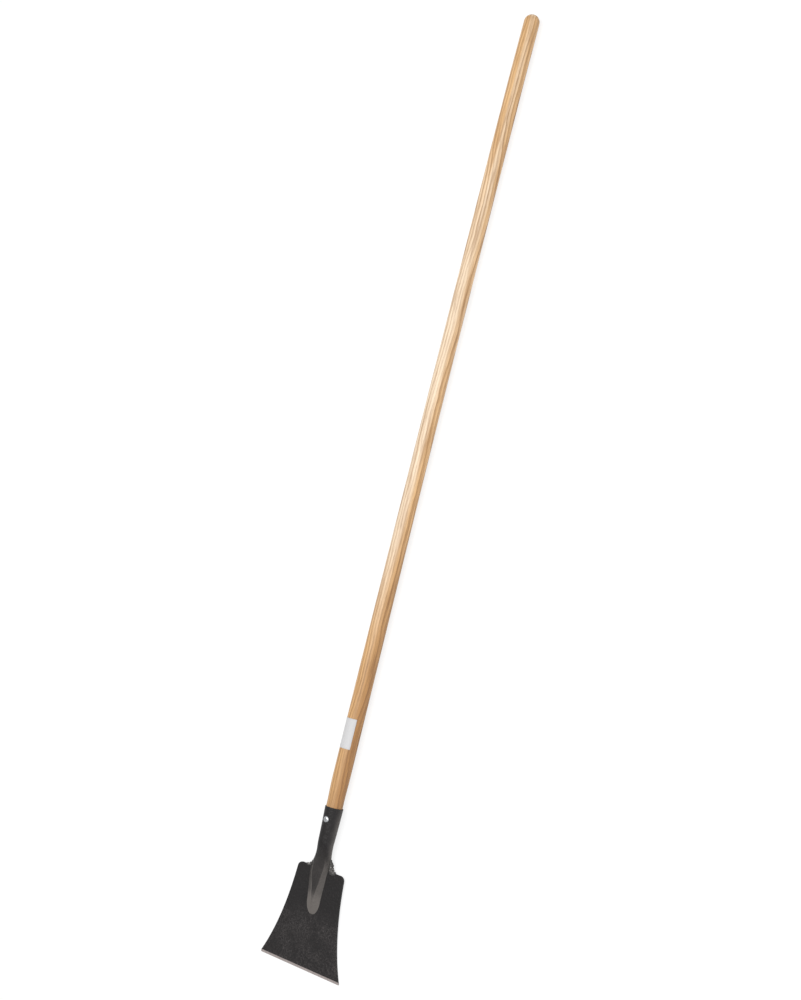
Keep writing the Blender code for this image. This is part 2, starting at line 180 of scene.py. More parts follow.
@named
class BladeSettings(PropertyGroup):
    """The flat steel blade."""

    height: length("From the top edge to the cutting edge", 155)
    thickness: length("Thickness of the plate", 3)
    setback: length("How far the front face lies behind the pole's axis", 7.7)
    pitch: turn("Backward lean of the blade against the pole", 1.7)
    edge_width: length("Width of the cutting edge up to its sharp corners", 156.5)
    corner_rounding: length("How far the cutting edge's corners are blunted", 2.2)
    top_width: length("Width across the shoulders", 90)
    shoulder_radius: length("Radius of the two shoulders", 8)
    waist_drop: length("Drop that the sides' hollow is drawn towards", 96)
    waist_width: length("Width that the sides' hollow is drawn towards", 100)
    ground_width: length("Width of the ground strip along the cutting edge", 4.5)
    edge_thickness: length("Thickness left at the cutting edge", 0.7)
    rounding: length("Rounding of the sheared edges", 0.4)
    wear_width: length("Width of the worn strip along the outline", 1.6)
    paint: colour("Black paint", (0.0100, 0.0087, 0.0090))
    # Painted highlight: the grey of the glints painted on the hammered paint
    speckle: colour("Grey flecks in the paint", (0.058, 0.0515, 0.0510))
    # Where the painted glints start to thicken, and where they are thickest
    fleck_start: length("Place on the frame above which flecks are few", -690)
    fleck_end: length("Place on the frame below which flecks are many", -735)
    # Also the colour of the painted reflections, highlight and sheen on the socket
    rubbed: colour("Paint rubbed thin over the steel", (0.150, 0.135, 0.125))
    steel: colour("Freshly ground steel", (0.62, 0.545, 0.525))


@named
class WeldSettings(PropertyGroup):
    """The three welds between the socket and the blade."""

    radius: length("Half the thickness of the right weld", 4.7)
    climb: length("How far the right weld climbs the socket's flank", 17)
    reach: length("How far the right weld runs along the shoulder", 11.8)
    fill: length("How far the right weld fills the corner upwards", 1.9)
    stand: length("How far the right weld fills the corner sideways", 4.6)
    left_radius: length("Half the thickness of the left weld", 2.9)
    left_climb: length("How far the left weld climbs the socket's flank", 7)
    left_reach: length("How far the left weld runs along the shoulder", 10)
    left_fill: length("How far the left weld fills the corner upwards", 1.1)
    left_stand: length("How far the left weld fills the corner sideways", 1.6)
    back_radius: length("Half the thickness of the back weld", 2.2)
    back_margin: length("Distance of the back weld from the socket's corners", 2)
    ripple: length("Distance between the ripples", 1.5)
    unevenness: share("How far the ripples stray, as a share of the radius", 0.16)
    fineness: length("Size of the smallest detail", 0.32)
    # Painted highlight: how far the painted highlight spreads round a weld's corner
    polish: length("Reach of the brightest spot round a weld's corner", 7)
    metal: colour("Metal of the bead under thin paint", (0.055, 0.052, 0.050))
    # Painted highlight: the light colour painted on the bead's lumps
    bright: colour("Rubbed ridges of the bead", (0.50, 0.48, 0.46))


@named
class ScrewSettings(PropertyGroup):
    """The pan-head screw that fixes the pole."""

    drop: length("Distance below the socket's mouth", 19)
    head_diameter: length("Diameter of the head", 9.4)
    head_height: length("Height of the head", 3)
    head_edge: length("Height of the head's straight edge", 0.9)
    shank_diameter: length("Diameter of the shank", 4.5)
    shank_length: length("Length below the head", 19.4)
    point_length: length("Length of the point", 5)
    recess_width: length("Width of an arm of the cross", 1.2)
    recess_length: length("Length of an arm of the cross", 5)
    recess_depth: length("Depth of the cross", 1.9)
    recess_turn: turn("Turn of the cross about the screw", 20)
    sides: count("Facets round the screw", 64)
    zinc: colour("Bright zinc plate", (0.74, 0.76, 0.78))


@named
class LabelSettings(PropertyGroup):
    """The blank paper label on the pole."""

    place: length("Top of the label above the socket's mouth", 140)
    height: length("Length along the pole", 47.7)
    width: length("Width round the pole", 30)
    thickness: length("Thickness of the paper", 0.12)
    lift: length("How far the paper stands off the wood", 0.15)
    corner_lift: length("How far a corner has come loose", 0.35)
    turn: turn("Turn of the label's middle from the front", 18)
    columns: count("Facets round the pole", 48)
    rows: count("Facets along the pole", 60)
    paper: colour("Coated white paper", (0.635, 0.635, 0.645))


@named
class StageSettings(PropertyGroup):
    """Floor, light and camera."""

    floor_radius: length("Radius of the round floor", 9000)
    floor_colour: colour("Pale floor", (0.86, 0.86, 0.87))
    floor_glow: share("Share of plain white in the floor that the camera sees", 0.72)
    sky_strength: number("Strength of the even light", 0.58)
    key_power: power("Power of the large lamp", 44)
    fill_power: power("Power of the second lamp", 5)
    lens: number("Focal length in millimetres", 46.8)


@named
class ChopperSettings(PropertyGroup):
    """All the sizes and colours of the slug chopper."""

    pole: group(PoleSettings)
    socket: group(SocketSettings)
    blade: group(BladeSettings)
    weld: group(WeldSettings)
    screw: group(ScrewSettings)
    label: group(LabelSettings)
    stage: group(StageSettings)


# Small sums


def mix(start, end, part):
    return start + (end - start) * part


def clamp(value):
    return min(max(value, 0.0), 1.0)


def smooth_step(value):
    """Rises from 0 to 1 with level ends as value goes from 0 to 1."""
    value = clamp(value)
    return value * value * (3 - 2 * value)


def fade_in(place, start, span):
    """Rises from 0 to 1 over a span that begins at a start, both given in millimetres."""
    return smooth_step((place - start * MM) / (span * MM))


def rising(place, value, *rises):
    """A value that grows along a piece, by rises given as height, start and span."""
    for height, start, span in rises:
        value += height * fade_in(place, start, span)
    return value


def between(start, end, steps):
    """Evenly spaced places from start to end, both included."""
    return [mix(start, end, step / steps) for step in range(steps + 1)]


def quarter_turn(steps):
    """Evenly spaced angles from 0 to a quarter turn, both included."""
    return [math.pi / 2 * step / steps for step in range(steps + 1)]


def dim(tint, part):
    return [channel * part for channel in tint]


# Where the pieces go on the frame


def tool_axes(pole):
    """The tool's axes, read from the two ends of the frame's handle."""
    places = [vert.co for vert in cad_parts["handle"].data.vertices]
    lowest = min(place.x for place in places)
    end_face = [place for place in places if place.x < lowest + MM]
    foot = sum(end_face, Vector()) / len(end_face)
    foot.y = 0
    tip = max(places, key=lambda place: place.x).copy()
    tip.y = 0
    along = (tip - foot).normalized()
    mouth = foot + along * pole.insert
    front = Vector((-along.z, 0, along.x))
    axes = Matrix((along, (0, 1, 0), front)).transposed().to_4x4()
    return Matrix.Translation(mouth) @ axes


def blade_axes(pole, socket, blade):
    """Axes on the blade's front face, in the middle of its top edge."""
    place = Matrix.Translation((-shoulder_drop(socket), 0, -blade.setback))
    return tool_axes(pole) @ place @ Matrix.Rotation(-blade.pitch, 4, "Y")


# Modelling steps that several pieces share


def deselect_all():
    if bpy.context.object and bpy.context.object.mode != "OBJECT":
        bpy.ops.object.mode_set(mode="OBJECT")
    bpy.ops.object.select_all(action="DESELECT")


def select_only(piece):
    deselect_all()
    piece.select_set(True)
    bpy.context.view_layer.objects.active = piece


def start_piece(name, add, **values):
    """Adds a primitive by an operator, with nothing else selected, and names it."""
    deselect_all()
    add(**values)
    piece = bpy.context.object
    piece.name = name
    return piece


def add_modifier(piece, kind, **values):
    """Adds a modifier, gives it its values and applies it."""
    select_only(piece)
    bpy.ops.object.modifier_add(type=kind)
    modifier = piece.modifiers[-1]
    for name, value in values.items():
        setattr(modifier, name, value)
    bpy.ops.object.modifier_apply(modifier=modifier.name)


def bevel(piece, width, segments, degrees):
    """Rounds the edges that are sharper than an angle."""
    sharp = {"limit_method": "ANGLE", "angle_limit": math.radians(degrees)}
    add_modifier(piece, "BEVEL", width=width, segments=segments, **sharp)


def edit_all():
    bpy.ops.object.mode_set(mode="EDIT")
    bpy.ops.mesh.select_all(action="SELECT")


def point_normals_outwards(piece):
    select_only(piece)
    edit_all()
    bpy.ops.mesh.normals_make_consistent(inside=False)
    bpy.ops.object.mode_set(mode="OBJECT")


def shade(piece, degrees):
    select_only(piece)
    bpy.ops.object.shade_smooth_by_angle(angle=math.radians(degrees))


def paint_points(piece, name, values):
    """Gives each point a number that the materials read by name."""
    layer = piece.data.attributes.new(name, "FLOAT", "POINT")
    layer.data.foreach_set("value", values)


def place_piece(piece, axes, graph, slot, *nodes):
    """Lays a finished piece on the frame, in place of the frame's own nodes."""
    piece.data.transform(axes)
    piece.data.materials.clear()
    piece.data.materials.append(graph.owner)
    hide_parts(*nodes)
    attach(piece, "root")


def turned_piece(name, stations, sides):
    """A round piece about X, extruded from a disc through stations of place and radius to a point."""
    start, radius = stations[0]
    disc = {"vertices": sides, "radius": radius, "location": (start, 0, 0), "rotation": (0, math.pi / 2, 0)}
    piece = start_piece(name, bpy.ops.mesh.primitive_circle_add, fill_type="NGON", **disc)
    bpy.ops.object.transform_apply()
    edit_all()
    for before, after in zip(stations, stations[1:]):
        bpy.ops.mesh.extrude_region_move(TRANSFORM_OT_translate={"value": (after[0] - before[0], 0, 0)})
        growth = after[1] / before[1]
        bpy.ops.transform.resize(value=(1, growth, growth), center_override=(after[0], 0, 0))
    bpy.ops.mesh.merge(type="CENTER")
    bpy.ops.object.mode_set(mode="OBJECT")
    point_normals_outwards(piece)
    return piece


def dome(base, height, radius, steps):
    """Stations of a round end, from its widest place almost to its top."""
    return [(base + height * math.sin(angle), radius * math.cos(angle)) for angle in quarter_turn(steps)[:-1]]


def start_grid(name, columns, rows):
    """A square grid, one metre across, with its middle at the origin."""
    return start_piece(name, bpy.ops.mesh.primitive_grid_add, x_subdivisions=columns, y_subdivisions=rows, size=1)


def rolled_piece(name, rings, marks):
    """A grid rolled so that its rows follow closed rings, with both ends filled, and its marks by name."""
    around = len(rings[0])
    rows = len(rings) - 1
    piece = start_grid(name, around, rows)
    grid = [
        (round((vert.co.y + 0.5) * rows), round((vert.co.x + 0.5) * around) % around)
        for vert in piece.data.vertices
    ]
    for vert, (row, column) in zip(piece.data.vertices, grid):
        vert.co = rings[row][column]
    for mark, values in marks.items():
        paint_points(piece, mark, [values[row][column] for row, column in grid])
    edit_all()
    bpy.ops.mesh.remove_doubles(threshold=MM / 1000)
    bpy.ops.mesh.select_all(action="DESELECT")
    bpy.ops.mesh.select_non_manifold()
    bpy.ops.mesh.fill_holes(sides=0)
    bpy.ops.object.mode_set(mode="OBJECT")
    point_normals_outwards(piece)
    return piece


def sheet(name, columns, rows, place):
    """A grid whose points go to place(across, along), both from 0 to 1."""
    piece = start_grid(name, columns, rows)
    for vert in piece.data.vertices:
        vert.co = place(vert.co.x + 0.5, vert.co.y + 0.5)
    return piece


# Shader nodes


def arithmetic(operation):
    """One of Python's operators as a Math node, and its reflected form."""
    return (
        lambda wire, other: wire.maths(operation, wire, other),
        lambda wire, other: wire.maths(operation, other, wire),
    )


class Wire:
    """A socket that Python's arithmetic turns into Math nodes."""

    __add__, __radd__ = arithmetic("ADD")
    __sub__, __rsub__ = arithmetic("SUBTRACT")
    __mul__, __rmul__ = arithmetic("MULTIPLY")
    __truediv__, __rtruediv__ = arithmetic("DIVIDE")
    __pow__, __rpow__ = arithmetic("POWER")

    def __init__(self, graph, node, socket):
        self.graph = graph
        self.node = node
        self.socket = socket

    def __getitem__(self, name):
        return Wire(self.graph, self.node, self.node.outputs[name])

    def maths(self, operation, first, second=0.0):
        return self.graph.add("Math", {"operation": operation}, {0: first, 1: second})

    def whole(self):
        return self.maths("FLOOR", self)

    def fraction(self):
        return self.maths("FRACT", self)

    def rise(self, low, high):
        """0 below low, 1 above high and smooth between."""
        values = {"Value": self, "From Min": low, "From Max": high}
        return self.graph.add("MapRange", {"interpolation_type": "SMOOTHSTEP"}, values)

    def ramp(self, *stops):
        """A grey curve through stops of place and value."""
        return self.graph.add("ValToRGB", {"stops": stops}, {"Fac": self})


class Graph:
    """The node tree of a material or of the world, with the shader that it ends in."""

    def __init__(self, owner, shader="Principled BSDF"):
        owner.use_nodes = True
        self.owner = owner
        self.tree = owner.node_tree
        self.shader = self.tree.nodes[shader]

    def add(self, kind, settings, sockets):
        """Adds a node: its settings come first, then the values or wires of its sockets."""
        node = self.tree.nodes.new("ShaderNode" + kind)
        for name, value in settings.items():
            if name == "stops":
                self.set_stops(node.color_ramp, value)
            else:
                setattr(node, name, value)
        for key, value in sockets.items():
            self.feed(node.inputs[key], value)
        shown = [socket for socket in node.outputs if socket.enabled]
        return Wire(self, node, shown[0])

    def set_stops(self, ramp, stops):
        while len(ramp.elements) < len(stops):
            ramp.elements.new(0.5)
        for element, (place, value) in zip(ramp.elements, stops):
            element.position = place
            element.color = (value, value, value, 1)

    def feed(self, socket, value):
        if isinstance(value, Wire):
            self.tree.links.new(value.socket, socket)
        elif socket.type == "RGBA":
            socket.default_value = (*value[:3], 1)
        else:
            socket.default_value = value

    def set(self, socket, value):
        self.feed(self.shader.inputs[socket], value)

    @cached_property
    def place(self):
        return self.add("TexCoord", {}, {})["Object"]

    def axes(self):
        return self.add("SeparateXYZ", {}, {"Vector": self.place})

    def mark(self, name):
        return self.add("Attribute", {"attribute_name": name}, {})["Fac"]

    def blend(self, part, first, second):
        """Goes from the first colour to the second."""
        return self.add("Mix", {"data_type": "RGBA"}, {0: part, 6: first, 7: second})

    def layers(self, base, *coats):
        """Lays coats over a base colour, each given as its part and its colour."""
        for part, tint in coats:
            base = self.blend(part, base, tint)
        return base

    def noise(self, scale, detail=2.0, roughness=0.5, place=None):
        values = {"Vector": place or self.place, "Scale": scale, "Detail": detail, "Roughness": roughness}
        return self.add("TexNoise", {}, values)

    def streaks(self, scales, detail=2.0, roughness=0.5):
        """Noise with a scale of its own along each axis."""
        return self.noise(1.0, detail, roughness, self.add("Mapping", {}, {"Vector": self.place, "Scale": scales}))

    def cells(self, scale):
        return self.add("TexVoronoi", {"feature": "SMOOTH_F1"}, {"Vector": self.place, "Scale": scale})

    def bump(self, height, strength, distance):
        values = {"Height": height, "Strength": strength, "Distance": distance}
        self.set("Normal", self.add("Bump", {}, values))

    def show_camera(self, part, other):
        """Shows the camera a part of another shader, and everything else the graph's own."""
        own = Wire(self, self.shader, self.shader.outputs[0])
        seen = self.add("LightPath", {}, {})["Is Camera Ray"]
        shown = self.add("MixShader", {}, {0: seen * part, 1: own, 2: other})
        output = next(node for node in self.tree.nodes if "Surface" in node.inputs)
        self.feed(output.inputs["Surface"], shown)


# The pole

# Room between the pole and the bore
FIT_GAP = 0.3 * MM

# Where the heart of the tree lies from the pole, as shares of Y and Z; the same direction points to the pole's lit
# side, where a highlight is painted into the wood
PITH_SIDE = (0.84, 0.54)


def pole_radius(pole, socket, place):
    """Radius of the pole at a place above the mouth; below it the pole fills the bore."""
    mouth = socket_radius(socket, 0) - socket.wall - FIT_GAP
    swell_end = pole.swell_start + pole.swell_length
    if place < 0:
        return socket_radius(socket, -place) - socket.wall - FIT_GAP
    if place < swell_end:
        return mix(mouth, pole.diameter / 2, smooth_step((place - pole.swell_start) / pole.swell_length))
    taper = smooth_step((place - swell_end) / pole.taper_length)
    return mix(pole.diameter, pole.grip_diameter, taper) / 2


def stray(pole, place):
    """How far the tool's middle strays at a place: the pole bows one way and the socket sits the other way."""
    bow = math.sin(math.pi * clamp(place / pole.reach))
    above = smooth_step((pole.set_reach - place) / (pole.set_reach + pole.set_neck))
    below = smooth_step((place + pole.set_end) / (pole.set_end - pole.set_neck))
    lean = above * below
    tip = smooth_step((place - pole.reach + pole.tip_length) / pole.tip_length)
    turned = clamp((-place - pole.foot_end) / (pole.nose_end - pole.foot_end))
    foot = mix(pole.foot_side, -pole.nose_side, turned)
    foot *= smooth_step((-place - pole.foot_start) / (pole.foot_end - pole.foot_start))
    side = pole.bow_side * bow - pole.set_side * lean + foot - pole.tip_side * tip
    return Vector((0, side, pole.bow_front * bow - pole.set_back * lean))


def pole_stations(pole, socket):
    """From the foot in the bore, over the swell and up the shaft to the round end's small flat."""
    swell_end = pole.swell_start + pole.swell_length
    end = pole.reach
    radius = pole.grip_diameter / 2
    shaft = end - radius
    places = [-pole.insert, -0.5 * MM, 0]
    places += between(pole.swell_start, swell_end, steps=12)
    places += between(swell_end, shaft, steps=48)[1:-1]
    stations = [(place, pole_radius(pole, socket, place)) for place in places]
    return stations + dome(shaft, radius, radius, steps=12) + [(end - 0.02 * MM, 0.6 * MM)]


def ash_wood(pole, low, high):
    """Ash: growth rings that arch along the pole, fibre streaks and short dark pores."""
    graph = Graph(bpy.data.materials.new("ash_wood"))
    graph.set("Coat Weight", 0.18)
    graph.set("Coat Roughness", 0.35)
    axes = graph.axes()
    along = axes["X"]
    height = axes["Z"] - (low.z + high.z) / 2

    # The heart of the tree lies to one side, and the rings wander along the pole
    slow = graph.streaks((3.6, 0.1, 0.1), 1.0)
    wander = graph.streaks((13.0, 18.0, 18.0))
    across = axes["Y"] - PITH_SIDE[0] * pole.pith_distance + (slow - 0.5) * (40 * MM)
    upward = height - PITH_SIDE[1] * pole.pith_distance + (wander - 0.5) * (15 * MM)
    ring = ((across * across + upward * upward) ** 0.5) / pole.ring_spacing
    ring = ring + (graph.streaks((24, 150, 150)) - 0.5) * 0.5
    early = ring.fraction().ramp((0.0, 1.0), (0.22, 0.86), (0.46, 0.34), (0.72, 0.05), (0.94, 0.0), (1.0, 1.0))
    year = graph.add("TexWhiteNoise", {"noise_dimensions": "1D"}, {"W": ring.whole()})["Value"]
    early = early * (0.30 + 0.70 * year)

    # Streaks of fibre in two sizes, and pores that crowd in the early wood
    broad = graph.streaks((13, 270, 270), 3.0, 0.6)
    fine = graph.streaks((45, 1500, 1500), 3.0, 0.65)
    dashes = graph.streaks((95, 2300, 2300), 1.0)
    pores = dashes.rise(0.58, 0.68) * (0.15 + 0.85 * early)

    # A highlight is painted on the lit side left of the middle and as a streak along the part towards the grip; the
    # wood turns brown towards the socket, and shade is painted on the side to the right
    right = (axes["Y"] * -PITH_SIDE[0] + height * -PITH_SIDE[1]) / (pole.diameter / 2)
    patch = graph.streaks((3.4, 34, 34)) - 0.5
    lit_side_highlight = (1 - ((along - 0.13) * 2.35) ** 2).rise(-0.25, 1.0) * (1 - right.rise(-0.60, 0.45) * 0.88)
    highlight_streak = along.rise(0.22, 0.50) * (1 - ((right - 0.08) * 2.2) ** 2).rise(0.0, 1.0) * 0.5
    pale_and_highlight = (lit_side_highlight * 0.96 + highlight_streak + patch * 1.1 + 0.10).rise(0.0, 1.0)
    brown_and_shade = along.rise(0.12, -0.44) * (0.41 + 0.54 * right.rise(-0.7, 0.4)) + patch * 0.4
    brown_and_shade = brown_and_shade.rise(0.0, 1.15)
    dark = graph.blend(brown_and_shade * 0.62, pole.ring_wood, pole.pore)
    lines = graph.streaks((12, 330, 330), 2.0, 0.6)
    lines = lines.rise(0.50, 0.66) * right.rise(-0.15, 0.6) * along.rise(0.15, -0.05)

    # Handling has greyed the rim of the mouth and the round end a little
    near_mouth = along.rise(low.x + pole.insert + 14 * MM, low.x + pole.insert)
    near_end = along.rise(high.x - 16 * MM, high.x)
    grime = (near_mouth * 0.15 + near_end * 0.28) * broad.rise(0.3, 0.6)
    wood = graph.layers(
        pole.warm_wood,
        (pale_and_highlight, pole.pale_wood),
        (brown_and_shade, pole.brown_wood),
        (broad.rise(0.42, 0.68) * 0.50, dark),
        (early * (0.80 - 0.22 * lit_side_highlight), dark),
        (fine.rise(0.45, 0.78) * 0.20, dark),
        (lines * 0.60, dark),
        (pores * 0.60, pole.pore),
        (grime, pole.pore),
    )
    graph.set("Base Color", wood)
    graph.set("Roughness", 0.42 + 0.14 * early + 0.10 * fine)
    graph.bump(fine * 0.35 - early * 0.35 - pores * 0.9, 0.5, 0.12 * MM)
    return graph


class SLUG_CHOPPER_OT_pole(Operator):
    """Turns the ash pole, with its swell, its taper, its slight bow and its round end"""

    bl_idname = "slug_chopper.pole"
    bl_label = "Pole"

    def execute(self, context):
        chopper = context.scene.slug_chopper
        pole = chopper.pole
        low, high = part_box("handle")
        piece = turned_piece("ash_pole", pole_stations(pole, chopper.socket), pole.sides)
        for vert in piece.data.vertices:
            vert.co += stray(pole, vert.co.x)
        shade(piece, 35)
        place_piece(piece, tool_axes(pole), ash_wood(pole, low, high), "ash_wood", "handle")
        return {"FINISHED"}


# The socket

# Half a section of the socket has five corners, from the front's centre to the back's.
# They are given as turns on the round section, and each side between them has a number of steps.
CORNER_TURNS = [math.radians(degrees) for degrees in (0, 45, 98, 140, 180)]
SIDE_FINENESS = (9, 10, 7, 8)

# Room between a ring and a sharp bend
BEND_ROOM = 0.3 * MM

# Drops of the rings down the cone, outside and up it inside, in millimetres
CONE_DROPS = (0.5, 1.2, 8, 16, 26, 38)
BORE_DROPS = (26, 6)

# How round the nose is seen from the front, and how its top falls
NOSE_FRONT_CURVE = 2.05
NOSE_TOP_CURVE = 1.6

# How far the paint is rubbed on the mouth's rim, which reaches down a little, and on the socket's back
RIM_WEAR = 0.35
RIM_REACH = 0.6 * MM
BACK_WEAR = 0.1

# How light the crest, the facets beside it and the crest's left edge are made, by rubbed paint and a painted
# reflection, with a painted highlight along the left edge: what each starts from, then its rises down the tongue as
# height, start and span, the last two in millimetres
CREST_WEAR_AND_SHEEN = (0.2, (0.17, -50, 40), (0.43, 30, 25))
LEFT_FACET_SHEEN = (0.45, (0.08, 0, 24), (0.40, 32, 18))
RIGHT_FACET_SHEEN = (0.61, (0.20, 32, 20))
LINE_HIGHLIGHT = (0.68, (0.24, 18, 12))


def socket_radius(socket, drop):
    """Outer radius of the socket's cone."""
    return mix(socket.mouth_diameter, socket.neck_diameter, drop / socket.cone_length) / 2


def shoulder_drop(socket):
    return socket.cone_length + socket.pressed_length


def foot_half_width(socket, drop):
    """Half the width of the pressed part: it flares to the tongue's root, then narrows to the nose."""
    reach = drop - shoulder_drop(socket)
    straight = socket.tongue_length - socket.nose_length
    if reach < 0:
        neck = socket_radius(socket, min(drop, socket.cone_length))
        flare = smooth_step((drop - socket.cone_length) / socket.flare_length)
        return mix(neck, socket.root_width / 2, flare)
    if reach < straight:
        return mix(socket.root_width, socket.nose_width, reach / straight) / 2
    return socket.nose_width / 2 * math.sqrt(1 - ((reach - straight) / socket.nose_length) ** NOSE_FRONT_CURVE)


def tongue_height(socket, reach):
    """Height of the tongue's crest over the blade: a long gentle fall, then the nose."""
    if reach < socket.crest_length:
        return mix(socket.root_height, socket.crest_height, max(reach, 0) / socket.crest_length)
    fall = (reach - socket.crest_length) / (socket.tongue_length - socket.crest_length)
    return socket.crest_height * (1 - fall**NOSE_TOP_CURVE)


def crest_half_width(socket, drop):
    """Half the width of the flat crest, which narrows towards the nose."""
    share_down = clamp((drop - shoulder_drop(socket)) / socket.crest_length)
    crest = mix(socket.crest_width, socket.crest_end_width, share_down) / 2
    return min(crest, foot_half_width(socket, drop) * socket.crest_share)


def crest_shift(socket, blade, place):
    """How far the crest strays at a place: in full on the top and not at all on the blade."""
    reach = -place.x - shoulder_drop(socket)
    face = -blade.setback - math.tan(blade.pitch) * reach
    height = clamp((place.z - face) / max(tongue_height(socket, reach), 0.5 * MM))
    lean = mix(-1, 1, clamp(reach / socket.crest_length)) * fade_in(reach, -16, 16)
    return Vector((0, socket.crest_lean * height * lean, 0))


def pressed_corners(socket, blade, drop):
    """The five corners of half a pressed section, as pairs of side and height."""
    reach = drop - shoulder_drop(socket)
    face = -blade.setback - math.tan(blade.pitch) * reach
    top = face + tongue_height(socket, reach)
    foot = foot_half_width(socket, drop)
    crest = crest_half_width(socket, drop)
    depth = blade.thickness + socket.back_proud if reach < 0 else blade.thickness / 2
    back_corner = (foot * socket.back_narrowing, face - depth)
    return [(0, top + socket.crest_crown), (crest, top), (foot, face), back_corner, (0, face - depth)]


def half_section(socket, blade, pressed_from, drop):
    """The socket's outside from front to back: round about the pole, and pressed below it."""
    radius = socket_radius(socket, min(drop, socket.cone_length))
    corners = pressed_corners(socket, blade, drop)
    pressed = smooth_step((drop - pressed_from) / (shoulder_drop(socket) - pressed_from))
    points = []
    for index, steps in enumerate(SIDE_FINENESS):
        for step in range(steps):
            part = step / steps
            angle = mix(CORNER_TURNS[index], CORNER_TURNS[index + 1], part)
            round_place = (radius * math.sin(angle), radius * math.cos(angle))
            flat_place = [mix(corners[index][axis], corners[index + 1][axis], part) for axis in (0, 1)]
            points.append([mix(round_place[axis], flat_place[axis], pressed) for axis in (0, 1)])
    points.append([0, mix(-radius, corners[-1][1], pressed)])
    return points


def socket_ring(socket, blade, pressed_from, drop, grow):
    """A closed ring of the socket's outside, pushed outwards by a distance."""
    half = half_section(socket, blade, pressed_from, drop)
    flat = half + [(-side, height) for side, height in reversed(half[1:-1])]
    ring = []
    for index, (side, height) in enumerate(flat):
        before = flat[index - 1]
        after = flat[(index + 1) % len(flat)]
        along = Vector((after[0] - before[0], after[1] - before[1])).normalized()
        ring.append(Vector((-drop, side - along.y * grow, height + along.x * grow)))
    return ring


def socket_levels(socket, pressed_from):
    """Levels of the rings as pairs of drop and growth: up the hollow, over the rim and down the outside."""
    shoulder = shoulder_drop(socket)
    crest_end = shoulder + socket.crest_length
    tip = shoulder + socket.tongue_length
    wall = -socket.wall
    pressed = between(pressed_from, shoulder, steps=26)[:-1]
    hollow = [drop for drop in pressed if drop < socket.hollow_depth] + [socket.hollow_depth]
    outside = [drop * MM for drop in CONE_DROPS] + pressed + [shoulder - BEND_ROOM, shoulder + BEND_ROOM]
    outside += between(shoulder, crest_end, steps=14)[1:]
    outside += between(crest_end, tip - BEND_ROOM, steps=16)[1:]
    levels = [(drop, wall) for drop in reversed(hollow)] + [(drop * MM, wall) for drop in BORE_DROPS]
    levels += [(socket.rim_rounding, wall), (0, wall + socket.rim_rounding), (0, -socket.rim_rounding)]
    return levels + [(drop, 0) for drop in outside]


def socket_wear_and_sheen(socket, drop, grow, index, around):
    """How light the paint is made at a point: rubbed on the rim, with a painted reflection on the tongue's facets
    and nose, a painted highlight along the crest's edge and a painted sheen on the right flank.
    """
    half = around // 2
    place = min(index, around - index)
    left = index <= half
    crest, foot = SIDE_FINENESS[0], SIDE_FINENESS[0] + SIDE_FINENESS[1]
    back = half - SIDE_FINENESS[3]
    reach = drop - shoulder_drop(socket)
    if drop < RIM_REACH and grow <= 0:
        return RIM_WEAR
    if left and place > back:
        return BACK_WEAR

    # Rubbed paint and a painted reflection lighten the crest towards the nose, and the slanting facets beside it
    # more than the crest
    top = rising(reach, *CREST_WEAR_AND_SHEEN)
    facet = smooth_step((place - crest + 1.2) / 1.6) * smooth_step((foot + 0.6 - place) / 1.2)
    if left:
        # A painted highlight follows the crest's left edge
        narrow, wide = crest_half_width(socket, drop), foot_half_width(socket, drop)
        off = narrow * (1 - place / crest) if place < crest else (wide - narrow) * (place - crest) / (foot - crest)
        line_highlight = smooth_step(1.5 - off / socket.crest_line) * fade_in(reach, -7, 5) * rising(reach, *LINE_HIGHLIGHT)
        return max(mix(top, rising(reach, *LEFT_FACET_SHEEN), facet * fade_in(reach, -8, 8)), line_highlight)

    # A painted sheen lightens the right flank from the mouth to the tongue, and less and less round the back
    facet *= fade_in(reach, -24, 24)
    wear_and_sheen = BACK_WEAR if place > back else mix(top, rising(reach, *RIGHT_FACET_SHEEN), facet)
    if reach >= 0:
        return wear_and_sheen
    flank = mix(0.8, 1.0, fade_in(drop, 0, 45)) * clamp(0.25 + 0.04 * (place - crest))
    return max(wear_and_sheen, mix(BACK_WEAR, flank, smooth_step((half - place) / (half - back + 2))))


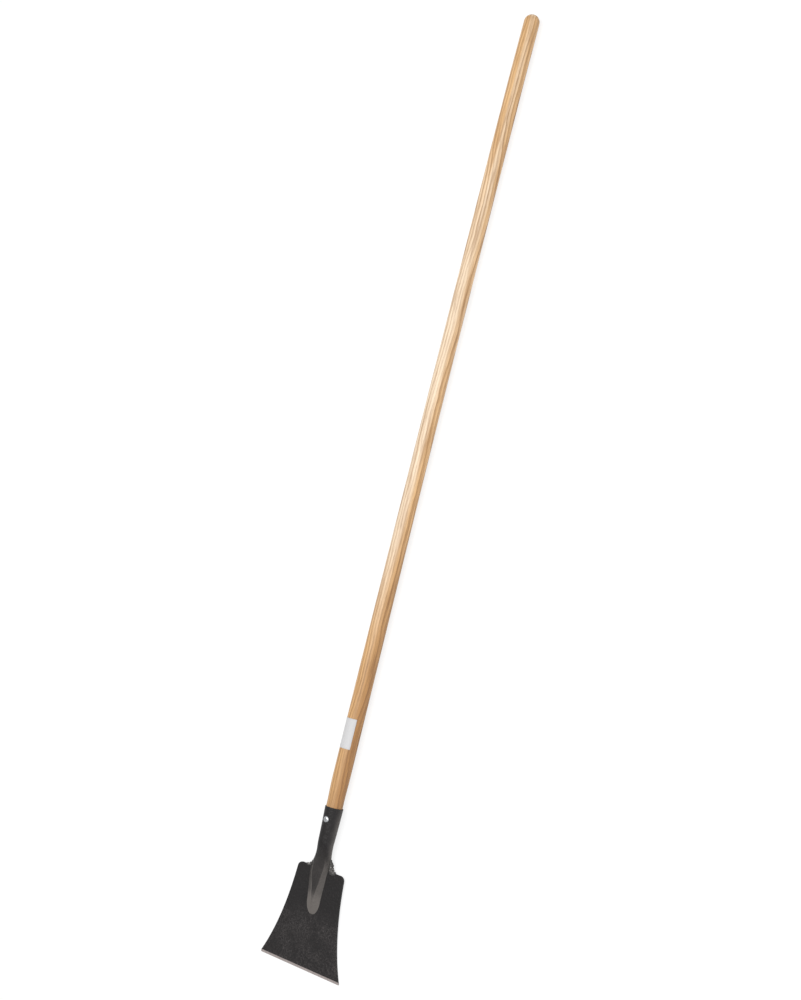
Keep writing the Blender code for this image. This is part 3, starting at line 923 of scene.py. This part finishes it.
def black_paint(name, blade):
    """Black paint over hammered steel: mottled, with painted glints, rubbed and given painted reflections where the
    marks say, and ground bare at the edge.
    """
    graph = Graph(bpy.data.materials.new(name))
    worn, rubbed, ground = [graph.mark(name) for name in ("worn", "rubbed", "ground")]

    # Hammered skin under the paint, orange peel on it, and grey specks painted as glints of light, thickest low on
    # the blade
    dents = graph.cells(230)
    peel = graph.noise(620, 3.0, 0.6)
    cloud = graph.noise(38, 4.0, 0.6)
    glint_noise = graph.noise(640, 3.0, 0.66)
    ridges = graph.cells(340).rise(0.30, 0.62)
    low_end = graph.axes()["X"].rise(blade.fleck_start, blade.fleck_end)
    painted_glints = (glint_noise.rise(0.485, 0.64) * 0.96 + ridges * 0.25) * (0.14 + 0.86 * (low_end * cloud.rise(0.26, 0.60)))
    paint = graph.blend(painted_glints, blade.paint, blade.speckle)

    # Rubbing shows the steel through the paint, first on the high spots; the same mark carries the painted
    # reflections, highlight and sheen on the socket
    scuffs = graph.streaks((60, 420, 420), 4.0, 0.7)
    thin_and_sheen = (rubbed * 1.25 - 0.30 * cloud - 0.22 * (1 - peel)).rise(0.0, 0.95)
    chips = (worn * 1.1 + scuffs * 0.55 - 0.55).rise(0.42, 0.62)

    # The ground strip, with its scratches across the edge and a ragged border
    scratches = graph.streaks((70, 2600, 70), 3.0, 0.7)
    bare = (ground * 1.4 + scratches * 0.35 - 0.40).rise(0.25, 0.55)
    streak = graph.streaks((40, 260, 40))
    steel = graph.blend((scratches * 0.6 + streak * 0.4).rise(0.3, 0.7), dim(blade.steel, 0.72), blade.steel)

    coats = ((thin_and_sheen, blade.rubbed), (chips * 0.75, blade.rubbed), (bare, steel))
    graph.set("Base Color", graph.layers(paint, *coats))
    graph.set("Metallic", bare * 0.82 + chips * (1 - bare) * 0.35)
    rough = 0.36 + 0.20 * cloud + 0.10 * thin_and_sheen + 0.10 * painted_glints
    graph.set("Roughness", rough * (1 - bare) + bare * (0.38 + 0.12 * scratches))
    graph.set("Specular IOR Level", 0.34)
    skin = (dents * 0.9 + ridges * 0.5 + peel * 0.42) * (1 - bare) + bare * scratches * 0.22
    graph.bump(skin, 0.75, 0.45 * MM)
    return graph


class SLUG_CHOPPER_OT_socket(Operator):
    """Rolls and presses the socket: a tapered tube that ends in a faceted tongue"""

    bl_idname = "slug_chopper.socket"
    bl_label = "Socket"

    def execute(self, context):
        chopper = context.scene.slug_chopper
        socket, blade, pole = chopper.socket, chopper.blade, chopper.pole
        levels = socket_levels(socket, pole.insert)
        rings = [socket_ring(socket, blade, pole.insert, drop, grow) for drop, grow in levels]
        around = len(rings[0])
        rubbed = [[socket_wear_and_sheen(socket, drop, grow, i, around) for i in range(around)] for drop, grow in levels]
        none = [[0.0] * around for _ in levels]
        marks = {"rubbed": rubbed, "worn": none, "ground": none}
        piece = rolled_piece("pressed_socket", rings, marks)
        add_modifier(piece, "SUBSURF", levels=1, render_levels=1)
        for vert in piece.data.vertices:
            vert.co += stray(pole, vert.co.x) + crest_shift(socket, blade, vert.co)
        shade(piece, 50)
        place_piece(piece, tool_axes(pole), black_paint("socket_paint", blade), "black_paint", "socket")
        return {"FINISHED"}


# The blade

# How far the blunting of a corner reaches inwards, as a share of its length
CORNER_FULLNESS = 0.9

# Places of the rows round the ground strip's border, counted from it
BORDER_ROWS = (-0.6 * MM, 0, 0.4 * MM, 1.5 * MM)

# Places across half the blade as shares of its half width, close together at the outline
HALF_COLUMNS = [step / 20 for step in range(19)] + [0.93, 0.955, 0.975, 0.99, 1.0]


def blade_half_width(blade, down):
    """Half the blade's width at a distance below its top edge."""
    radius = blade.shoulder_radius
    if down < radius:
        return blade.top_width / 2 - radius + math.sqrt(radius**2 - (radius - down) ** 2)
    bend = radius - 2 * blade.waist_drop + blade.height
    slope = 2 * (blade.waist_drop - radius)
    part = (-slope + math.sqrt(slope**2 - 4 * bend * (radius - down))) / (2 * bend)
    near = mix(blade.top_width, blade.waist_width, part)
    far = mix(blade.waist_width, blade.edge_width, part)
    blunt = clamp((down - blade.height + blade.corner_rounding) / blade.corner_rounding)
    return mix(near, far, part) / 2 - blade.corner_rounding * (1 - math.sqrt(1 - blunt**2)) * CORNER_FULLNESS


def blade_rows(blade):
    """Distances below the top edge: close together round the shoulders and at the ground strip."""
    radius = blade.shoulder_radius
    border = blade.height - blade.ground_width
    corner = blade.height - blade.corner_rounding
    shoulder = [radius * (1 - math.cos(angle)) for angle in quarter_turn(steps=12)[:-1]]
    side = between(radius, border + BORDER_ROWS[0], steps=60)
    strip = [border + distance for distance in BORDER_ROWS[1:]] + [corner]
    strip += [corner + blade.corner_rounding * math.sin(angle) for angle in quarter_turn(steps=6)[1:]]
    return shoulder + side + strip


class SLUG_CHOPPER_OT_blade(Operator):
    """Cuts the blade from plate, rounds its sheared edges and grinds its cutting edge"""

    bl_idname = "slug_chopper.blade"
    bl_label = "Blade"

    def execute(self, context):
        chopper = context.scene.slug_chopper
        blade = chopper.blade
        rows = blade_rows(blade)
        columns = [-place for place in reversed(HALF_COLUMNS[1:])] + HALF_COLUMNS

        def place(across, along):
            down = rows[round(along * (len(rows) - 1))]
            side = columns[round(across * (len(columns) - 1))]
            return Vector((-down, side * blade_half_width(blade, down), 0))

        piece = sheet("blade_plate", len(columns) - 1, len(rows) - 1, place)
        add_modifier(piece, "SOLIDIFY", thickness=blade.thickness, offset=1)
        point_normals_outwards(piece)
        highest = max(vert.co.z for vert in piece.data.vertices)
        slope = (blade.thickness - blade.edge_thickness) / blade.ground_width
        for vert in piece.data.vertices:
            beyond = max(-vert.co.x - (blade.height - blade.ground_width), 0)
            vert.co.z -= highest
            if vert.co.z > -blade.thickness / 2:
                vert.co.z -= beyond * slope
        bevel(piece, blade.rounding, 3, 50)
        self.mark_wear(piece, blade)
        shade(piece, 24)
        axes = blade_axes(chopper.pole, chopper.socket, blade)
        place_piece(piece, axes, black_paint("blade_paint", blade), "black_paint", "blade")
        return {"FINISHED"}

    def mark_wear(self, piece, blade):
        """Marks the outline as worn, the ground strip as bare and the rest as whole paint."""
        border = blade.height - blade.ground_width
        worn, ground = [], []
        for vert in piece.data.vertices:
            down = clamp(-vert.co.x / blade.height) * blade.height
            inside = min(blade_half_width(blade, down) - abs(vert.co.y), down + 0.2 * MM)
            worn.append(clamp(1 - inside / blade.wear_width) * 0.45)
            front = vert.co.z > -blade.thickness + 0.2 * MM
            ground.append(clamp((-vert.co.x - border) / BORDER_ROWS[2]) if front else 0.0)
        for mark, values in (("worn", worn), ("ground", ground), ("rubbed", [0.0] * len(worn))):
            paint_points(piece, mark, values)


# The welds

# The lumps of a bead: the part of an arch that their sizes follow, how far these vary, and how flat
# the lumps are along the bead
LUMP_ARCH = (0.10, 0.90)
LUMP_SIZES = (0.86, 1.06)
LUMP_FLATNESS = 0.66

# Where a highlight is painted on a bead, as a share of the way from its corner to its end
HIGHLIGHT_PLACE = 0.45


def bead_path(start, middle, end, steps):
    """Points on a curve through three points, each with its direction."""
    pull = 2 * middle - (start + end) / 2
    path = []
    for step in range(steps + 1):
        part = step / steps
        near = start.lerp(pull, part)
        far = pull.lerp(end, part)
        path.append((near.lerp(far, part), (far - near).normalized()))
    return path


def bead_piece(name, weld, ends, radius, seed):
    """A weld bead: uneven overlapping lumps of metal along a path, melted into one skin."""
    uneven = Random(seed)
    start, middle, end = ends
    span = (middle - start).length + (end - middle).length
    path = bead_path(start, middle, end, round(span / weld.ripple))
    add_lump = bpy.ops.mesh.primitive_ico_sphere_add
    piece = start_piece(name, add_lump, subdivisions=3, radius=radius / 2, location=middle)
    bpy.ops.object.transform_apply()
    bpy.ops.object.mode_set(mode="EDIT")
    for index, (centre, direction) in enumerate(path):
        part = index / (len(path) - 1)
        swell = math.sqrt(math.sin(math.pi * mix(*LUMP_ARCH, part)))
        shift = Vector([uneven.uniform(-1, 1) for _ in range(3)]) * weld.unevenness * radius
        add_lump(
            subdivisions=3,
            radius=radius * swell * uneven.uniform(*LUMP_SIZES),
            location=centre + shift,
            rotation=direction.to_track_quat("Z", "Y").to_euler(),
            scale=(1, 1, LUMP_FLATNESS),
        )
    bpy.ops.object.mode_set(mode="OBJECT")
    add_modifier(piece, "REMESH", mode="VOXEL", voxel_size=weld.fineness)
    add_modifier(piece, "SMOOTH", factor=0.5, iterations=4)
    # Points near this spot get the painted highlight
    highlight_centre = middle.lerp(end, HIGHLIGHT_PLACE)
    paint_points(piece, "polish", [clamp(1 - (vert.co - highlight_centre).length / weld.polish) for vert in piece.data.vertices])
    shade(piece, 80)
    return piece


def side_bead_ends(pole, socket, blade, side, sizes):
    """Start, corner and end of a side weld, in the blade's axes."""
    climb, reach, fill, stand = sizes
    shoulder = shoulder_drop(socket)
    flank = socket.root_width / 2
    depth = -blade.thickness / 2
    high = stray(pole, climb - shoulder).y
    low = stray(pole, -shoulder).y
    start = Vector((climb, high + side * (foot_half_width(socket, shoulder - climb) - MM), 0))
    middle = Vector((fill, low + side * (flank + stand), depth))
    end = Vector((-0.6 * MM, low + side * (flank + reach), depth))
    return start, middle, end


def weld_metal(weld):
    """Gritty weld metal under thin paint, with highlights painted in patches, most of all round the bead's painted
    highlight spot.
    """
    graph = Graph(bpy.data.materials.new("weld_metal"))
    grit = graph.noise(700, 3.0, 0.65)
    patches = graph.noise(260, 3.0, 0.6)
    bright = (patches * 0.7 + grit * 0.5 + graph.mark("polish") * 0.24 - 0.05).rise(0.64, 0.80)
    graph.set("Base Color", graph.blend(bright, weld.metal, weld.bright))
    graph.set("Metallic", 0.25 + 0.65 * bright)
    graph.set("Roughness", 0.36 + 0.22 * grit)
    graph.bump(grit, 0.5, 0.3 * MM)
    return graph


class SLUG_CHOPPER_OT_welds(Operator):
    """Lays the two side welds in the shoulders' corners and the weld across the back"""

    bl_idname = "slug_chopper.welds"
    bl_label = "Welds"

    def execute(self, context):
        chopper = context.scene.slug_chopper
        weld, socket, blade = chopper.weld, chopper.socket, chopper.blade
        axes = blade_axes(chopper.pole, socket, blade)
        metal = weld_metal(weld)
        sizes = (weld.climb, weld.reach, weld.fill, weld.stand)
        left_sizes = (weld.left_climb, weld.left_reach, weld.left_fill, weld.left_stand)
        half = socket.root_width / 2 - weld.back_margin
        back = [Vector((0, side * half, -blade.thickness)) for side in (-1, 0, 1)]
        for name, ends, radius in (
            ("right", side_bead_ends(chopper.pole, socket, blade, -1, sizes), weld.radius),
            ("left", side_bead_ends(chopper.pole, socket, blade, 1, left_sizes), weld.left_radius),
            ("back", back, weld.back_radius),
        ):
            piece = bead_piece(f"{name}_weld_bead", weld, ends, radius, name)
            place_piece(piece, axes, metal, "weld_metal", f"weld_{name}")
        return {"FINISHED"}


# The screw

# What is left of a recess arm's width and length at its bottom
RECESS_TAPER = (0.8, 0.45)


def screw_stations(screw):
    """From the point up the shank, out under the head and over its dome."""
    head = screw.head_diameter / 2
    shank = screw.shank_diameter / 2
    point = -screw.shank_length
    stations = [(point, 0.2 * MM), (point + screw.point_length, shank), (0, shank), (0, head)]
    return stations + dome(screw.head_edge, screw.head_height - screw.head_edge, head, steps=14)


def zinc_plate(screw):
    """Bright zinc plate with a fine uneven haze."""
    graph = Graph(bpy.data.materials.new("zinc_plate"))
    haze = graph.noise(900, 3.0, 0.6)
    graph.set("Base Color", graph.blend(haze.rise(0.35, 0.7), dim(screw.zinc, 0.6), screw.zinc))
    graph.set("Metallic", 0.92 + 0.08 * haze)
    graph.set("Roughness", 0.24 + 0.16 * haze)
    graph.bump(haze, 0.25, 0.1 * MM)
    return graph


class SLUG_CHOPPER_OT_screw(Operator):
    """Turns the pan-head screw and cuts the cross in its head"""

    bl_idname = "slug_chopper.screw"
    bl_label = "Screw"

    def execute(self, context):
        chopper = context.scene.slug_chopper
        screw, socket = chopper.screw, chopper.socket
        piece = turned_piece("pan_head_screw", screw_stations(screw), screw.sides)
        for quarter in (0, 1):
            cutter = self.recess_arm(screw, screw.recess_turn + quarter * math.pi / 2)
            add_modifier(piece, "BOOLEAN", operation="DIFFERENCE", solver="EXACT", object=cutter)
            bpy.data.objects.remove(cutter, do_unlink=True)
        bevel(piece, 0.12 * MM, 2, 40)
        shade(piece, 35)
        upright = Matrix.Rotation(-math.pi / 2, 4, "Y")
        seat = Vector((-screw.drop, 0, socket_radius(socket, screw.drop)))
        seat += stray(chopper.pole, -screw.drop)
        axes = tool_axes(chopper.pole) @ Matrix.Translation(seat) @ upright
        place_piece(piece, axes, zinc_plate(screw), "zinc_plate", "fixing_screw")
        return {"FINISHED"}

    def recess_arm(self, screw, angle):
        """One tapered arm of the cross, as a cutter along X."""
        size = (2 * screw.recess_depth, screw.recess_width, screw.recess_length)
        cutter = start_piece("recess_cutter", bpy.ops.mesh.primitive_cube_add, size=1, scale=size)
        bpy.ops.object.transform_apply()
        for vert in cutter.data.vertices:
            if vert.co.x < 0:
                vert.co.y *= RECESS_TAPER[0]
                vert.co.z *= RECESS_TAPER[1]
        cutter.data.transform(Matrix.Rotation(angle, 4, "X"))
        cutter.data.transform(Matrix.Translation((screw.head_height, 0, 0)))
        return cutter


# The label

# Width and length of the loose corner as shares of the label, height of the creases in the paper,
# and the strip along the edges that is darker
LOOSE_WIDTH = 0.28
LOOSE_LENGTH = 0.26
CREASE = 0.05 * MM
DARK_EDGE_STRIP = 1 / 22


def label_paper(label):
    """Coated paper: faint fibres, soft creases and slightly darker edges."""
    graph = Graph(bpy.data.materials.new("label_paper"))
    graph.set("Coat Weight", 0.12)
    graph.set("Coat Roughness", 0.35)
    fibres = graph.streaks((420, 900, 900), 3.0, 0.6)
    smudge = graph.noise(70, 3.0, 0.55)
    # Darker along the edges and in soft blotches
    dirty = (graph.mark("dirty") * 0.5 + smudge.rise(0.5, 0.85) * 0.35).rise(0.0, 1.2)
    graph.set("Base Color", graph.blend(dirty + fibres * 0.10, label.paper, dim(label.paper, 0.55)))
    graph.set("Roughness", 0.45 + 0.15 * fibres)
    graph.bump(fibres * 0.5 + smudge, 0.3, 0.15 * MM)
    return graph


class SLUG_CHOPPER_OT_label(Operator):
    """Wraps the blank paper label round the pole, with one corner a little loose"""

    bl_idname = "slug_chopper.label"
    bl_label = "Label"

    def execute(self, context):
        chopper = context.scene.slug_chopper
        label, pole, socket = chopper.label, chopper.pole, chopper.socket
        spread = label.width / pole.diameter

        def place(across, along):
            position = label.place - label.height * along
            loose = smooth_step((across - 1 + LOOSE_WIDTH) / LOOSE_WIDTH)
            loose *= smooth_step((LOOSE_LENGTH - along) / LOOSE_LENGTH)
            crease = CREASE * math.sin(9 * across + 4 * along) * math.sin(15 * along + 3 * across)
            radius = pole_radius(pole, socket, position) + label.lift + crease + loose * label.corner_lift
            angle = label.turn + spread * (2 * across - 1)
            centre = stray(pole, position)
            return centre + Vector((position, radius * math.sin(angle), radius * math.cos(angle)))

        piece = sheet("blank_label", label.columns, label.rows, place)
        edges = []
        for index in range(len(piece.data.vertices)):
            column = index % (label.columns + 1) / label.columns
            row = index // (label.columns + 1) / label.rows
            inside = min(column, 1 - column, row, 1 - row)
            edges.append(clamp(1 - inside / DARK_EDGE_STRIP))
        paint_points(piece, "dirty", edges)
        add_modifier(piece, "SOLIDIFY", thickness=label.thickness, offset=0)
        point_normals_outwards(piece)
        shade(piece, 50)
        place_piece(piece, tool_axes(pole), label_paper(label), "label_paper", "paper_label")
        return {"FINISHED"}


# The studio

# The photograph's viewpoint, found by fitting the tool's outline: where the camera is, where it looks
# and which way is up in the picture
CAMERA_PLACE = (-0.265118, -1.146856, 1.739481)
CAMERA_AHEAD = (0.103439, 0.557342, -0.823814)
CAMERA_ABOVE = (0.964629, 0.145697, 0.219690)

KEY_LAMP = {"place": (0.2, -0.1, 2.6), "target": (0, 0, 0), "size": (2.6, 1.3), "tint": (1.0, 0.99, 0.975)}
FILL_LAMP = {"place": (-0.9, -1.9, 1.1), "target": (-0.4, 0, 0), "size": (1.4, 1.0), "tint": (0.96, 0.98, 1.0)}


def floor_material(stage):
    """A pale floor that the camera sees as white, with the tool's shadow on it."""
    graph = Graph(bpy.data.materials.new("studio_floor"))
    grain = graph.noise(14)
    graph.set("Base Color", graph.blend(grain, stage.floor_colour, (0.89, 0.89, 0.90)))
    graph.set("Roughness", 0.9)
    white = graph.add("Emission", {}, {"Color": (1, 1, 1), "Strength": 1.1})
    graph.show_camera(stage.floor_glow, white)
    return graph


def add_lamp(name, watts, place, target, size, tint):
    data = bpy.data.lights.new(name, "AREA")
    data.shape = "RECTANGLE"
    data.size, data.size_y = size
    data.energy = watts
    data.color = tint
    lamp = bpy.data.objects.new(name, data)
    lamp.location = place
    lamp.rotation_euler = (Vector(target) - Vector(place)).to_track_quat("-Z", "Y").to_euler()
    bpy.context.scene.collection.objects.link(lamp)


def add_camera(stage):
    data = bpy.data.cameras.new("studio_camera")
    data.sensor_width = 36
    data.lens = stage.lens
    camera = bpy.data.objects.new("studio_camera", data)
    ahead = Vector(CAMERA_AHEAD).normalized()
    right = ahead.cross(Vector(CAMERA_ABOVE)).normalized()
    above = right.cross(ahead)
    turned = Matrix((right, above, -ahead)).transposed().to_4x4()
    camera.matrix_world = Matrix.Translation(CAMERA_PLACE) @ turned
    bpy.context.scene.collection.objects.link(camera)
    bpy.context.scene.camera = camera


class SLUG_CHOPPER_OT_stage(Operator):
    """Adds the pale floor, the soft lamps, the even sky and the camera"""

    bl_idname = "slug_chopper.stage"
    bl_label = "Stage"

    def execute(self, context):
        stage = context.scene.slug_chopper.stage
        disc = {"vertices": 96, "radius": stage.floor_radius, "fill_type": "NGON"}
        floor = start_piece("studio_floor", bpy.ops.mesh.primitive_circle_add, **disc)
        floor.data.materials.append(floor_material(stage).owner)
        add_lamp("key_lamp", stage.key_power, **KEY_LAMP)
        add_lamp("fill_lamp", stage.fill_power, **FILL_LAMP)

        context.scene.world = bpy.data.worlds.new("studio_sky")
        sky = Graph(context.scene.world, "Background")
        sky.set("Color", (1, 1, 1))
        sky.set("Strength", stage.sky_strength)
        sky.show_camera(1.0, sky.add("Background", {}, {"Color": (1, 1, 1)}))

        context.scene.view_settings.view_transform = "Standard"
        add_camera(stage)
        return {"FINISHED"}


# The add-on

STEPS = (
    SLUG_CHOPPER_OT_pole,
    SLUG_CHOPPER_OT_socket,
    SLUG_CHOPPER_OT_blade,
    SLUG_CHOPPER_OT_welds,
    SLUG_CHOPPER_OT_screw,
    SLUG_CHOPPER_OT_label,
    SLUG_CHOPPER_OT_stage,
)


class SLUG_CHOPPER_PT_sidebar(Panel):
    """Buttons that build the tool, and its sizes and colours"""

    bl_idname = "SLUG_CHOPPER_PT_sidebar"
    bl_label = "Slug Chopper"
    bl_space_type = "VIEW_3D"
    bl_region_type = "UI"
    bl_category = "Slug Chopper"

    def draw(self, context):
        chopper = context.scene.slug_chopper
        for step in STEPS:
            self.layout.operator(step.bl_idname)
        for part in ChopperSettings.__annotations__:
            box = self.layout.box()
            box.label(text=part.capitalize())
            settings = getattr(chopper, part)
            for word in settings.__annotations__:
                box.prop(settings, word)


GROUPS = (PoleSettings, SocketSettings, BladeSettings, WeldSettings, ScrewSettings, LabelSettings, StageSettings)
CLASSES = (*GROUPS, ChopperSettings, *STEPS, SLUG_CHOPPER_PT_sidebar)


def register():
    for entry in CLASSES:
        bpy.utils.register_class(entry)
    bpy.types.Scene.slug_chopper = group(ChopperSettings)("Slug chopper")


def unregister():
    del bpy.types.Scene.slug_chopper
    for entry in reversed(CLASSES):
        bpy.utils.unregister_class(entry)


def main():
    register()
    bpy.ops.slug_chopper.pole()
    bpy.ops.slug_chopper.socket()
    bpy.ops.slug_chopper.blade()
    bpy.ops.slug_chopper.welds()
    bpy.ops.slug_chopper.screw()
    bpy.ops.slug_chopper.label()
    bpy.ops.slug_chopper.stage()


if __name__ == "__main__":
    main()
